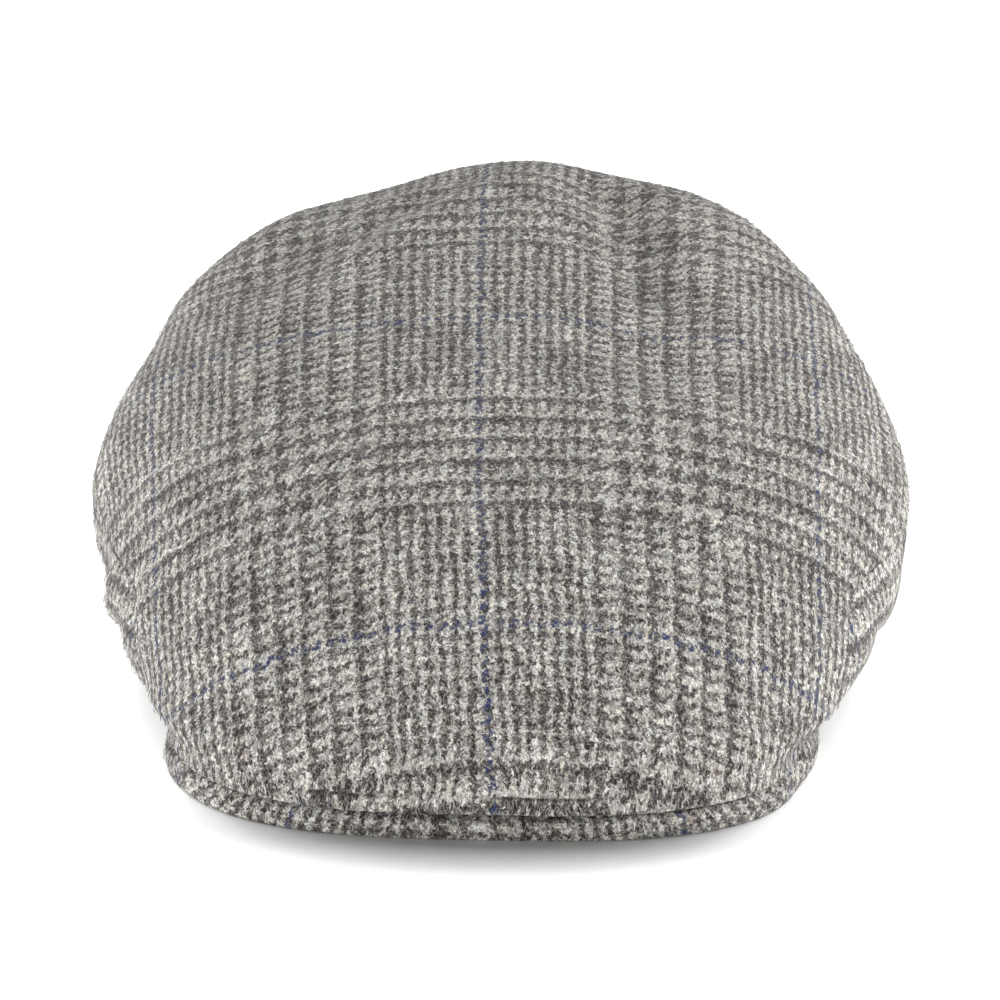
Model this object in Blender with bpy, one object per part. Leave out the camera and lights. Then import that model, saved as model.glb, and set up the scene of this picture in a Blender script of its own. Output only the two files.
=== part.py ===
"""A flat cap of check tweed, built as the real one is sewn.

One wide top panel is drawn down over a stiff peak, and two side panels carry it and meet at the back.
Metres, +Z up, the peak towards -Y, and the origin on the table under the middle of the cap.
"""

import math
from collections import namedtuple

import bmesh
import bpy
from mathutils import Vector

# Head opening, inside the hem
OPENING_LENGTH = 0.200
OPENING_WIDTH = 0.164

# Cloth and its seams
CLOTH = 0.0021
HEM_THICKNESS = 0.0034
HEM_DEPTH = 0.014
SEAM_GAP = 0.0003

# Peak
PEAK_REACH = 0.060
PEAK_WIDTH = 0.1718
PEAK_DEPTH = 0.0655
PEAK_TAIL = 0.108
PEAK_THICKNESS = 0.0062
PEAK_TIP_THICKNESS = 0.0034
PEAK_CAMBER = 0.0045
PEAK_FLAT_BORDER = 0.010
PEAK_EDGE_ROUND = 0.0022
EDGE_ROUND_OF_THICKNESS = 0.45
EDGE_ROUND_OF_WIDTH = 0.30
PEAK_FULLNESS = 2.9
PEAK_TIP_THINNING = 1.5
PEAK_END = 0.90
HEM_START = 0.94

# Crown
CROWN_WIDTH = 0.2315
CROWN_HEIGHT = 0.104
BACK_OVERHANG = 0.013
CROWN_LEAN = -0.0020
LEAN_WHOLE_FROM = 0.33
ROLL_RADIUS = 0.012
LIP_INSET = 0.0020
INSET_RUNOUT = 4
LIP_HEIGHT = 0.0045
LIP_SIDE_SHARE = 0.7
CORE_Z = 0.031
FOLD_DEPTH = 0.0050
FOLD_WIDTH = 0.0160

# How finely each piece is divided
ACROSS_STEPS = 20
PANEL_ROWS = 36
BACK_STRIDE = 5
WALL_ROWS = 8
PEAK_SECTIONS = 44
PEAK_FACE_STEPS = 5
PEAK_ROUND_STEPS = 3
FOLD_STEPS = 6
FOOT_STEPS = 60
WAY_SMOOTHINGS = 3
SMALL_SHARE = 0.01
TIP_DEGREES = (30, 120)
HALVINGS = 40

# Looks
TWEED = (0.30, 0.29, 0.27, 1.0)
CLOTH_ROUGHNESS = 0.95
SHARP_DEGREES = 50

CAP_LENGTH = PEAK_REACH + OPENING_LENGTH + HEM_THICKNESS + BACK_OVERHANG
FRONT_Y = -CAP_LENGTH / 2
OPENING_CENTRE_Y = FRONT_Y + PEAK_REACH + OPENING_LENGTH / 2
PEAK_WIDEST_Y = FRONT_Y + PEAK_DEPTH
SEAT_Z = PEAK_THICKNESS + SEAM_GAP

# A section of the top panel runs over the middle line at top and is widest at side. Its seam share is 1 where it ends
# at its widest place, less before that and 2 turned right under. Top_y counts from the peak's front in cap lengths,
# and side_y from the peak's widest place in shares of the length behind it. Side_x is of half the crown's width, and
# top_z and side_z are of the crown's height.
Section = namedtuple("Section", "top_y top_z side_x side_y side_z seam fullness")
SECTIONS = (
    Section(0.022, 0.185, 0.790, 0.020, 0.100, 0.90, 2.50),
    Section(0.054, 0.262, 0.835, 0.060, 0.105, 0.83, 2.25),
    Section(0.110, 0.385, 0.892, 0.115, 0.120, 0.73, 2.15),
    Section(0.193, 0.518, 0.940, 0.195, 0.165, 0.70, 2.12),
    Section(0.301, 0.645, 0.976, 0.290, 0.240, 0.92, 2.08),
    Section(0.428, 0.755, 1.000, 0.395, 0.325, 1.16, 2.00),
    Section(0.565, 0.850, 0.980, 0.505, 0.395, 1.34, 1.96),
    Section(0.698, 0.930, 0.926, 0.615, 0.445, 1.42, 1.92),
    Section(0.818, 0.985, 0.840, 0.735, 0.495, 1.40, 1.92),
    Section(0.897, 0.972, 0.712, 0.840, 0.545, 1.34, 1.92),
    Section(0.953, 0.895, 0.550, 0.912, 0.590, 1.26, 1.90),
    Section(0.985, 0.795, 0.392, 0.955, 0.622, 1.16, 2.00),
    Section(0.991, 0.712, 0.250, 0.975, 0.640, 1.05, 2.00),
    Section(0.990, 0.658, 0.110, 0.984, 0.650, 1.00, 2.00),
)

# How a side panel stands, from the peak round to the middle of the back. Its foot leans out by so many degrees, and
# the pulls say how far the curve follows its direction at the foot and at the seam, in shares of its height.
Stand = namedtuple("Stand", "lean foot_pull seam_pull")
STANDS = (
    Stand(78, 0.9, 0.9),
    Stand(78, 1.5, 1.5),
    Stand(76, 1.5, 1.4),
    Stand(58, 1.1, 1.0),
    Stand(45, 0.9, 0.8),
    Stand(33, 0.8, 0.7),
    Stand(22, 0.8, 0.6),
    Stand(14, 0.8, 0.6),
    Stand(12, 0.8, 0.6),
)

# A fold runs over the top panel from one place to another. Across is from -1 at the left seam to 1 at the right seam,
# and along is from 0 at the peak to 1 at the back. Width and depth are shares of FOLD_WIDTH and FOLD_DEPTH, and a
# negative depth is a hollow.
Fold = namedtuple("Fold", "across_0 along_0 across_1 along_1 width depth")
FOLDS = (
    Fold(0.155, 0.66, 0.20, 0.50, 1.05, -0.95),
    Fold(-0.19, 0.70, -0.31, 0.60, 1.00, -0.60),
    Fold(0.02, 0.74, 0.04, 0.64, 1.00, 0.35),
    Fold(0.44, 0.76, 0.50, 0.66, 1.20, 0.90),
    Fold(-0.56, 0.74, -0.60, 0.66, 1.30, 0.80),
    Fold(-0.86, 0.40, -0.96, 0.32, 1.40, -0.40),
)


def spline(values, position):
    """The Catmull-Rom curve through evenly spaced values, at a position from 0 to 1."""
    last = len(values) - 1
    place = min(max(position, 0.0), 1.0) * last
    start = min(int(place), last - 1)
    t = place - start
    a, b = values[start], values[start + 1]
    before = values[start - 1] if start else 2 * a - b
    after = values[start + 2] if start + 2 <= last else 2 * b - a
    cubic = 3 * a - before - 3 * b + after
    square = 2 * before - 5 * a + 4 * b - after
    return 0.5 * (2 * a + (b - before) * t + square * t**2 + cubic * t**3)


def spline_row(rows, position):
    """A row of a table between its own rows."""
    kind = type(rows[0])
    return kind(*(spline([getattr(row, name) for row in rows], position) for name in kind._fields))


def squircle(angle, fullness):
    """Across and along shares of a rounded-square arc, from (1, 0) at angle 0 to (0, 1) at a right angle."""
    power = 2 / fullness
    return max(math.cos(angle), 0.0) ** power, max(math.sin(angle), 0.0) ** power


def opening_point(angle, outset=0.0):
    """On the head opening's oval in plan. Angle 0 is the front, and positive angles go to +X."""
    x = (OPENING_WIDTH / 2 + outset) * math.sin(angle)
    y = OPENING_CENTRE_Y - (OPENING_LENGTH / 2 + outset) * math.cos(angle)
    return Vector((x, y, 0.0))


def tail_half_width(y):
    """Half the peak's width behind its widest place."""
    share = min((y - PEAK_WIDEST_Y) / PEAK_TAIL, 1.0)
    return PEAK_WIDTH / 2 * math.sqrt(1 - share**2)


def tip_angle():
    """The angle round the opening at which the peak's outline runs into the hem."""
    low, high = math.radians(TIP_DEGREES[0]), math.radians(TIP_DEGREES[1])
    for _ in range(HALVINGS):
        middle = (low + high) / 2
        hem = opening_point(middle, HEM_THICKNESS)
        if hem.y < PEAK_WIDEST_Y or tail_half_width(hem.y) > hem.x:
            low = middle
        else:
            high = middle
    return low


TIP_ANGLE = tip_angle()
TIP_Y = opening_point(TIP_ANGLE, HEM_THICKNESS).y
TIP_TURN = math.pi / 2 + math.asin(min((TIP_Y - PEAK_WIDEST_Y) / PEAK_TAIL, 1.0))
WIDEST_SHARE = math.pi / 2 / TIP_TURN


def peak_edge(share):
    """On the peak's outline in plan. Share 0 is the front and 1 the tip at +X."""
    turn = share * TIP_TURN
    if turn <= math.pi / 2:
        across, along = squircle(math.pi / 2 - turn, PEAK_FULLNESS)
        return Vector((PEAK_WIDTH / 2 * across, PEAK_WIDEST_Y - PEAK_DEPTH * along, 0.0))
    behind = turn - math.pi / 2
    return Vector((PEAK_WIDTH / 2 * math.cos(behind), PEAK_WIDEST_Y + PEAK_TAIL * math.sin(behind), 0.0))


def peak_thickness(share):
    """The peak thins from its widest place towards its tips."""
    thinning = max(0.0, (share - WIDEST_SHARE) / (1 - WIDEST_SHARE)) ** PEAK_TIP_THINNING
    return PEAK_THICKNESS + (PEAK_TIP_THICKNESS - PEAK_THICKNESS) * thinning


def peak_lift(share, distance, width):
    """How far the peak's underside arches off the table, at a distance in from its edge. Its border lies flat."""
    if distance <= PEAK_FLAT_BORDER or width <= PEAK_FLAT_BORDER:
        return 0.0
    inwards = min((distance - PEAK_FLAT_BORDER) / (width - PEAK_FLAT_BORDER), 1.0)
    return PEAK_CAMBER * inwards**2 * (3 - 2 * inwards) * math.cos(share * math.pi / 2) ** 2


def section_rows():
    """The sections in metres, after the front edge and the upper edge of the lip that it makes on the peak."""
    front_x = PEAK_WIDTH / 2 - LIP_INSET
    front = Section(FRONT_Y + LIP_INSET, SEAT_Z, front_x, PEAK_WIDEST_Y, SEAT_Z, 1.0, PEAK_FULLNESS)
    lip = front._replace(top_z=SEAT_Z + LIP_HEIGHT, side_z=SEAT_Z + LIP_HEIGHT * LIP_SIDE_SHARE)
    rows = [front, lip]
    for row in SECTIONS:
        made = row._replace(
            top_y=FRONT_Y + row.top_y * CAP_LENGTH,
            top_z=row.top_z * CROWN_HEIGHT,
            side_x=row.side_x * CROWN_WIDTH / 2,
            side_y=PEAK_WIDEST_Y + row.side_y * (CAP_LENGTH - PEAK_DEPTH),
            side_z=row.side_z * CROWN_HEIGHT,
        )
        rows.append(made)
    return rows


SECTION_ROWS = section_rows()


def section_point(row, share):
    """On a section at +X: share 0 is over the middle line, 1 its widest place, and past 1 it turns under."""
    side = Vector((row.side_x, row.side_y, row.side_z))
    rise = Vector((0.0, row.top_y - row.side_y, row.top_z - row.side_z))
    if share <= 1:
        over, up = squircle(math.pi / 2 * (1 - share), row.fullness)
        return Vector((row.side_x * over, row.side_y, row.side_z)) + rise * up
    turn = math.pi / 2 * (share - 1)
    inward = Vector((ROLL_RADIUS * (1 - math.cos(turn)), 0.0, 0.0))
    return side - inward - rise.normalized() * ROLL_RADIUS * math.sin(turn)


def smooth_point(across, along):
    """On the top panel before its folds."""
    row = spline_row(SECTION_ROWS, along)
    point = section_point(row, abs(across) * row.seam)
    if across < 0:
        point.x = -point.x
    point.x += CROWN_LEAN * min(along / LEAN_WHOLE_FROM, 1.0) ** 2
    return point


def grid_normals(grid):
    """A unit normal at each point of a grid, pointing out of the cap."""
    core = Vector((0.0, 0.0, CORE_Z))
    normals = []
    for i, line in enumerate(grid):
        row = []
        for j, point in enumerate(line):
            along = grid[min(i + 1, len(grid) - 1)][j] - grid[max(i - 1, 0)][j]
            across = line[min(j + 1, len(line) - 1)] - line[max(j - 1, 0)]
            normal = along.cross(across).normalized()
            row.append(normal if normal.dot(point - core) > 0 else -normal)
        normals.append(row)
    return normals


def distance_to_line(point, line):
    best = math.inf
    for start, end in zip(line, line[1:]):
        step = end - start
        share = min(max((point - start).dot(step) / step.length_squared, 0.0), 1.0)
        best = min(best, (point - start - step * share).length)
    return best


def fold_lines():
    """Each fold with the line that it follows over the smooth panel."""
    made = []
    for fold in FOLDS:
        line = []
        for k in range(FOLD_STEPS + 1):
            t = k / FOLD_STEPS
            across = fold.across_0 + (fold.across_1 - fold.across_0) * t
            line.append(smooth_point(across, fold.along_0 + (fold.along_1 - fold.along_0) * t))
        made.append((fold, line))
    return made


def folded(grid):
    """The grid with the folds pressed into it."""
    lines = fold_lines()
    made = []
    for line, normals in zip(grid, grid_normals(grid)):
        moved = []
        for point, normal in zip(line, normals):
            push = 0.0
            for fold, path in lines:
                away = distance_to_line(point, path) / (fold.width * FOLD_WIDTH)
                push += fold.depth * FOLD_DEPTH * math.exp(-(away**2))
            moved.append(point + normal * push)
        made.append(moved)
    return made


def top_panel_grid():
    """Rows from the peak to the back, each from the left seam to the right one."""
    across = [k / ACROSS_STEPS for k in range(-ACROSS_STEPS, ACROSS_STEPS + 1)]
    rows = [k / PANEL_ROWS for k in range(PANEL_ROWS + 1)]
    return folded([[smooth_point(x, along) for x in across] for along in rows])


def inner_grid(outer, thickness):
    normals = grid_normals(outer)
    return [[p - n * thickness for p, n in zip(line, row)] for line, row in zip(outer, normals)]


def make_object(name, points, faces):
    mesh = bpy.data.meshes.new(name)
    mesh.from_pydata(points, [], faces)
    shell = bmesh.new()
    shell.from_mesh(mesh)
    bmesh.ops.recalc_face_normals(shell, faces=shell.faces)
    shell.to_mesh(mesh)
    shell.free()
    mesh.shade_smooth()
    mesh.set_sharp_from_angle(angle=math.radians(SHARP_DEGREES))
    material = bpy.data.materials.new(name + "_cloth")
    material.use_nodes = True
    shader = material.node_tree.nodes["Principled BSDF"]
    shader.inputs["Base Color"].default_value = TWEED
    shader.inputs["Roughness"].default_value = CLOTH_ROUGHNESS
    shader.inputs["Metallic"].default_value = 0.0
    mesh.materials.append(material)
    made = bpy.data.objects.new(name, mesh)
    bpy.context.scene.collection.objects.link(made)


def wall(name, outer, inner):
    """A closed wall between two grids of the same size."""
    rows, columns = len(outer), len(outer[0])
    points = [p for line in outer for p in line] + [p for line in inner for p in line]
    inside = rows * columns
    faces = []
    for i in range(rows - 1):
        for j in range(columns - 1):
            start = i * columns + j
            quad = (start, start + 1, start + columns + 1, start + columns)
            faces.append(quad)
            faces.append(tuple(inside + k for k in reversed(quad)))
    rim = list(range(columns))
    rim += [i * columns + columns - 1 for i in range(1, rows)]
    rim += [(rows - 1) * columns + j for j in range(columns - 2, -1, -1)]
    rim += [i * columns for i in range(rows - 2, 0, -1)]
    for a, b in zip(rim, rim[1:] + rim[:1]):
        faces.append((b, a, inside + a, inside + b))
    make_object(name, points, faces)


def build_top_panel(outer):
    inner = inner_grid(outer, CLOTH)
    for edge, inside in zip(outer[0], inner[0]):
        inside.z = edge.z
    wall("top_panel", outer, inner)


def round_edge(grid):
    """A grid's values along its +X edge from the lip, and on round the back to the middle line."""
    middle = len(grid[0]) // 2
    back = grid[-1][middle:-1:BACK_STRIDE]
    return [line[-1] for line in grid[1:]] + list(reversed(back))


def seam_ways(edge, normals):
    """At each point of the seam, the way that the top panel's surface leaves it."""
    ways = []
    for k, normal in enumerate(normals):
        step = edge[min(k + 1, len(edge) - 1)] - edge[max(k - 1, 0)]
        ways.append(step.cross(normal).normalized())
    for _ in range(WAY_SMOOTHINGS):
        ends = [ways[0], *ways, ways[-1]]
        ways = [(a + b + c).normalized() for a, b, c in zip(ends, ends[1:], ends[2:])]
    return ways


def foot_line():
    """Where a side panel stands at +X: on the peak from its widest place to its tip, then as the hem."""
    made = []
    for k in range(FOOT_STEPS + 1):
        share = WIDEST_SHARE + (HEM_START - WIDEST_SHARE) * k / FOOT_STEPS
        ahead = peak_edge(share + SMALL_SHARE) - peak_edge(share - SMALL_SHARE)
        inward = Vector((-ahead.y, ahead.x, 0.0)).normalized()
        foot = peak_edge(share) + inward * LIP_INSET * (1 - share**INSET_RUNOUT)
        foot.z = peak_thickness(share) + SEAM_GAP
        made.append(foot)
    on_peak = len(made)
    for k in range(1, FOOT_STEPS + 1):
        made.append(opening_point(TIP_ANGLE + (math.pi - TIP_ANGLE) * k / FOOT_STEPS, HEM_THICKNESS))
    return made, on_peak


def length_shares(points):
    total = [0.0]
    for a, b in zip(points, points[1:]):
        total.append(total[-1] + (b - a).length)
    return [x / total[-1] for x in total]


def point_at(points, share):
    shares = length_shares(points)
    for a, b, low, high in zip(points, points[1:], shares, shares[1:]):
        if share <= high:
            return a.lerp(b, (share - low) / (high - low))
    return points[-1].copy()


def feet(edge):
    """A foot for each point of the seam. The last one on the peak is just ahead of the first one on the hem."""
    line, on_peak = foot_line()
    peak_part, hem_part = line[:on_peak], line[on_peak:]
    whole = length_shares(line)
    shares = length_shares(edge)
    change = min(range(len(shares)), key=lambda k: abs(shares[k] - whole[on_peak - 1]))
    made = [point_at(peak_part, shares[k] / shares[change]) for k in range(change + 1)]
    rest = shares[change + 1:]
    made += [point_at(hem_part, (s - rest[0]) / (rest[-1] - rest[0])) for s in rest]
    return made


def stand_curve(foot, seam, outward, way, stand):
    """From the foot up to the seam, leaning out at the foot and meeting the top panel's surface."""
    height = (seam - foot).length
    lean = math.radians(stand.lean)
    leave = (outward * math.sin(lean) + Vector((0.0, 0.0, math.cos(lean)))) * height * stand.foot_pull
    arrive = -way * height * stand.seam_pull
    points = []
    for k in range(WALL_ROWS + 1):
        t = k / WALL_ROWS
        point = foot * (2 * t**3 - 3 * t**2 + 1) + leave * (t**3 - 2 * t**2 + t)
        points.append(point + seam * (3 * t**2 - 2 * t**3) + arrive * (t**3 - t**2))
    return points


def build_side_panel(name, sign, edge, normals):
    """One side panel, made at +X and mirrored where sign is -1."""
    ways = seam_ways(edge, normals)
    base = feet(edge)
    columns = []
    for k, (seam, foot, share) in enumerate(zip(edge, base, length_shares(edge))):
        ahead = base[min(k + 1, len(base) - 1)] - base[max(k - 1, 0)]
        outward = Vector((ahead.y, -ahead.x, 0.0)).normalized()
        stand = spline_row(STANDS, share)
        columns.append(stand_curve(foot, seam + ways[k] * SEAM_GAP, outward, ways[k], stand))
    outer = [list(line) for line in zip(*columns)]
    inner = []
    for line, row in zip(outer, grid_normals(outer)):
        made = []
        for point, normal in zip(line, row):
            thick = HEM_THICKNESS if point.z < HEM_DEPTH else CLOTH
            made.append(point - normal * thick)
        inner.append(made)
    for k, foot in enumerate(outer[0]):
        normal = (inner[1][k] - outer[1][k]).normalized()
        flat = Vector((normal.x, normal.y, 0.0)).normalized()
        inner[0][k] = foot + flat * HEM_THICKNESS
    for k, normal in enumerate(normals):
        inner[-1][k] = outer[-1][k] - normal * CLOTH
    for grid in (outer, inner):
        for line in grid:
            line[-1].x = SEAM_GAP / 2
            for point in line:
                point.x *= sign
    wall(name, outer, inner)


def peak_section(share):
    """A closed loop round the peak where it crosses from its outline to the opening, at a share from -1 to 1."""
    side = -1.0 if share < 0 else 1.0
    s = abs(share)
    outer = peak_edge(s)
    inner = opening_point(TIP_ANGLE * s)
    width = (inner - outer).length
    inward = (inner - outer) / width
    thick = peak_thickness(s)
    turn = min(PEAK_EDGE_ROUND, thick * EDGE_ROUND_OF_THICKNESS, width * EDGE_ROUND_OF_WIDTH)
    quarter = [math.pi / 2 * k / PEAK_ROUND_STEPS for k in range(PEAK_ROUND_STEPS + 1)]
    face = [turn + (width - turn) * k / PEAK_FACE_STEPS for k in range(1, PEAK_FACE_STEPS + 1)]
    outline = [(distance, 0.0) for distance in reversed(face)]
    outline += [(turn * (1 - math.sin(a)), turn * (1 - math.cos(a))) for a in quarter]
    outline += [(turn * (1 - math.cos(a)), thick - turn * (1 - math.sin(a))) for a in quarter]
    outline += [(distance, thick) for distance in face]
    loop = []
    for distance, height in outline:
        point = outer + inward * distance
        loop.append(Vector((side * point.x, point.y, height + peak_lift(s, distance, width))))
    return loop


def build_peak():
    loops = [peak_section(PEAK_END * (2 * k / PEAK_SECTIONS - 1)) for k in range(PEAK_SECTIONS + 1)]
    points = [p for loop in loops for p in loop]
    count = len(loops[0])
    faces = []
    for i in range(len(loops) - 1):
        for j in range(count):
            a, b = i * count + j, i * count + (j + 1) % count
            faces.append((a, a + count, b + count, b))
    faces.append(tuple(range(count)))
    faces.append(tuple(reversed(range(len(points) - count, len(points)))))
    make_object("peak", points, faces)


def centre_over_origin(pieces):
    """Slide the pieces together until the middle of their box is over the origin."""
    points = [vertex.co for piece in pieces for vertex in piece.data.vertices]
    for axis in (0, 1):
        places = [point[axis] for point in points]
        middle = (min(places) + max(places)) / 2
        for point in points:
            point[axis] -= middle


def main():
    for old in list(bpy.data.objects):
        bpy.data.objects.remove(old)
    grid = top_panel_grid()
    build_top_panel(grid)
    build_side_panel("side_panel_right", 1.0, round_edge(grid), round_edge(grid_normals(grid)))
    mirrored = [[Vector((-p.x, p.y, p.z)) for p in reversed(line)] for line in grid]
    build_side_panel("side_panel_left", -1.0, round_edge(mirrored), round_edge(grid_normals(mirrored)))
    build_peak()
    centre_over_origin(bpy.data.objects)


main()
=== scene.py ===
# %% [markdown]
# # A flat cap of glen check tweed
#
# The cap is sewn from four pieces of one woollen cloth: a wide top panel, two side panels and a short stiff peak. Each
# is built again from the plain model's sizes with a much finer mesh, and takes its solid's place.

# %% Open the frame
import math
from functools import partialmethod

import bpy
import numpy as np
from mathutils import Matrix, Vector, noise


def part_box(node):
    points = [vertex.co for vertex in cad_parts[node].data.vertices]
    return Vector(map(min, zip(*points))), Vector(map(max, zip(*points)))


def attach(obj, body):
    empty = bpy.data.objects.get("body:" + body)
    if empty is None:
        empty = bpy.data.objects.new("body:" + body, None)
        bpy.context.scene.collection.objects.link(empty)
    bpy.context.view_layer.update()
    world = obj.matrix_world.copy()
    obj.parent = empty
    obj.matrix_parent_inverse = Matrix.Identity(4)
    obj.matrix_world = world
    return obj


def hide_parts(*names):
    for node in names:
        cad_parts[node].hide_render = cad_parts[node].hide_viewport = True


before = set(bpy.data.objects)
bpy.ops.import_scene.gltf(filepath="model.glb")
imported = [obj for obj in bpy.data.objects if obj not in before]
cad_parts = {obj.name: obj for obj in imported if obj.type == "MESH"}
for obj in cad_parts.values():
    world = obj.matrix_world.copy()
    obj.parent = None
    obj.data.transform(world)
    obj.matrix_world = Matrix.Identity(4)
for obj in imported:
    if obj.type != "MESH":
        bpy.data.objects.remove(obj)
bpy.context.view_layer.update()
print("nodes in the frame:", ", ".join(sorted(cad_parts)))

# %% [markdown]
# ## The sizes
#
# The same as in the plain model, in metres. A cap is measured round the head opening, so that comes first.

# %% Sizes of the cap
OPENING_LENGTH = 0.200
OPENING_WIDTH = 0.164
CLOTH = 0.0021
HEM_THICKNESS = 0.0034
HEM_DEPTH = 0.014
SEAM_GAP = 0.0003
PEAK_REACH = 0.060
PEAK_WIDTH = 0.1718
PEAK_DEPTH = 0.0655
PEAK_TAIL = 0.108
PEAK_THICKNESS = 0.0062
PEAK_TIP_THICKNESS = 0.0034
PEAK_CAMBER = 0.0045
PEAK_FLAT_BORDER = 0.010
PEAK_FULLNESS = 2.9
PEAK_TIP_THINNING = 1.5
PEAK_END = 0.90
HEM_START = 0.94
CROWN_WIDTH = 0.2315
CROWN_HEIGHT = 0.104
BACK_OVERHANG = 0.013
CROWN_LEAN = -0.0020
LEAN_WHOLE_FROM = 0.33
ROLL_RADIUS = 0.012
LIP_INSET = 0.0020
INSET_RUNOUT = 4
LIP_HEIGHT = 0.0045
LIP_SIDE_SHARE = 0.7
FOLD_DEPTH = 0.0050
FOLD_WIDTH = 0.0160
CORE = np.array((0.0, 0.0, 0.031))
MIRROR = np.array((-1.0, 1.0, 1.0))

CAP_LENGTH = PEAK_REACH + OPENING_LENGTH + HEM_THICKNESS + BACK_OVERHANG
FRONT_Y = -CAP_LENGTH / 2
OPENING_CENTRE_Y = FRONT_Y + PEAK_REACH + OPENING_LENGTH / 2
PEAK_WIDEST_Y = FRONT_Y + PEAK_DEPTH
SEAT_Z = PEAK_THICKNESS + SEAM_GAP
peak_low, peak_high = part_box("peak")
SLIDE = np.array(((peak_low.x + peak_high.x) / 2, peak_low.y - FRONT_Y, 0.0))
print(f"the cap is {CAP_LENGTH * 1000:.0f} mm long, and slid by {SLIDE[0] * 1000:.1f}, {SLIDE[1] * 1000:.1f} mm")

# %% [markdown]
# ## Tables and curves
#
# Cloth has no straight edges, so its shape comes from short tables that a smooth curve runs through. Such curves could
# be drawn by hand in Edit Mode, but a table is easier to check against a photo.

# %% A smooth curve through the rows of a table
def through(rows, places):
    """The Catmull-Rom curve through evenly spaced rows, read at places from 0 to 1."""
    rows = np.asarray(rows, float)
    last = len(rows) - 1
    place = np.clip(np.atleast_1d(places), 0, 1) * last
    start = np.minimum(place.astype(int), last - 1)
    t = (place - start).reshape((-1,) + (1,) * (rows.ndim - 1))
    ends = np.concatenate([[2 * rows[0] - rows[1]], rows, [2 * rows[-1] - rows[-2]]])
    before, a, b, after = (ends[start + k] for k in range(4))
    cubic = 3 * a - before - 3 * b + after
    square = 2 * before - 5 * a + 4 * b - after
    return 0.5 * (2 * a + (b - before) * t + square * t**2 + cubic * t**3)


def read_grid(grid, rows, columns):
    """A grid read at rows and columns given from 0 to 1."""
    lines = through(grid, rows)
    return through(lines.swapaxes(0, 1), columns).swapaxes(0, 1)


def finer(grid, rows, columns):
    return read_grid(grid, np.linspace(0, 1, rows), np.linspace(0, 1, columns))


def unit(vectors):
    return vectors / np.maximum(np.linalg.norm(vectors, axis=-1, keepdims=True), 1e-12)


def normals_of(grid):
    """Unit normals pointing out of the cap."""
    normal = unit(np.cross(np.gradient(grid, axis=0), np.gradient(grid, axis=1)))
    outwards = np.sum(normal * (grid - CORE), axis=-1, keepdims=True) > 0
    return np.where(outwards, normal, -normal)


def lengths_along(points, axis=0):
    """How far each point lies along its line."""
    steps = np.linalg.norm(np.diff(points, axis=axis), axis=-1)
    return np.concatenate([np.zeros_like(np.take(steps, [0], axis)), np.cumsum(steps, axis)], axis)


print("a quarter along 0, 1, 0 the curve reads", through([[0.0], [1.0], [0.0]], 0.25)[0, 0])

# %% [markdown]
# ## The top panel
#
# One wide piece of cloth comes forward from the back of the head and is sewn down on the peak. It is widest over the
# ears, where it rolls under to the seam. Here it is a row of arches from the peak to the back. The table says how high
# each stands over the middle, how wide it spreads, and how far it turns under.

# %% The arches of the top panel
# top_y, top_z, side_x, side_y, side_z, seam, fullness
SECTIONS = (
    (0.022, 0.185, 0.790, 0.020, 0.100, 0.90, 2.50),
    (0.054, 0.262, 0.835, 0.060, 0.105, 0.83, 2.25),
    (0.110, 0.385, 0.892, 0.115, 0.120, 0.73, 2.15),
    (0.193, 0.518, 0.940, 0.195, 0.165, 0.70, 2.12),
    (0.301, 0.645, 0.976, 0.290, 0.240, 0.92, 2.08),
    (0.428, 0.755, 1.000, 0.395, 0.325, 1.16, 2.00),
    (0.565, 0.850, 0.980, 0.505, 0.395, 1.34, 1.96),
    (0.698, 0.930, 0.926, 0.615, 0.445, 1.42, 1.92),
    (0.818, 0.985, 0.840, 0.735, 0.495, 1.40, 1.92),
    (0.897, 0.972, 0.712, 0.840, 0.545, 1.34, 1.92),
    (0.953, 0.895, 0.550, 0.912, 0.590, 1.26, 1.90),
    (0.985, 0.795, 0.392, 0.955, 0.622, 1.16, 2.00),
    (0.991, 0.712, 0.250, 0.975, 0.640, 1.05, 2.00),
    (0.990, 0.658, 0.110, 0.984, 0.650, 1.00, 2.00),
)


def section_rows():
    """The table in metres, after two rows for the lip that stands on the peak."""
    scale = (CAP_LENGTH, CROWN_HEIGHT, CROWN_WIDTH / 2, CAP_LENGTH - PEAK_DEPTH, CROWN_HEIGHT, 1, 1)
    start = (FRONT_Y, 0, 0, PEAK_WIDEST_Y, 0, 0, 0)
    front = (FRONT_Y + LIP_INSET, SEAT_Z, PEAK_WIDTH / 2 - LIP_INSET, PEAK_WIDEST_Y, SEAT_Z, 1, PEAK_FULLNESS)
    lip = np.array(front) + (0, LIP_HEIGHT, 0, 0, LIP_HEIGHT * LIP_SIDE_SHARE, 0, 0)
    return np.array((front, lip, *(np.array(SECTIONS) * scale + start)))


SECTION_ROWS = section_rows()


def smooth_top(across, along):
    """The top panel before its folds, with a row from seam to seam for each place along."""
    values = through(SECTION_ROWS, along)
    top_y, top_z, side_x, side_y, side_z, seam, fullness = (column[:, None] for column in values.T)
    share = np.abs(across)[None, :] * seam
    angle = np.pi / 2 * (1 - np.minimum(share, 1))
    over = np.maximum(np.cos(angle), 0) ** (2 / fullness)
    up = np.maximum(np.sin(angle), 0) ** (2 / fullness)
    turn = np.pi / 2 * np.maximum(share - 1, 0)
    under = ROLL_RADIUS * np.sin(turn) / np.hypot(top_y - side_y, top_z - side_z)
    x = (side_x * over - ROLL_RADIUS * (1 - np.cos(turn))) * np.sign(across)[None, :]
    x = x + CROWN_LEAN * np.minimum(np.asarray(along)[:, None] / LEAN_WHOLE_FROM, 1) ** 2
    y = side_y + (top_y - side_y) * (up - under)
    z = side_z + (top_z - side_z) * (up - under)
    return np.stack([x, y, z], axis=-1)


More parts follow.
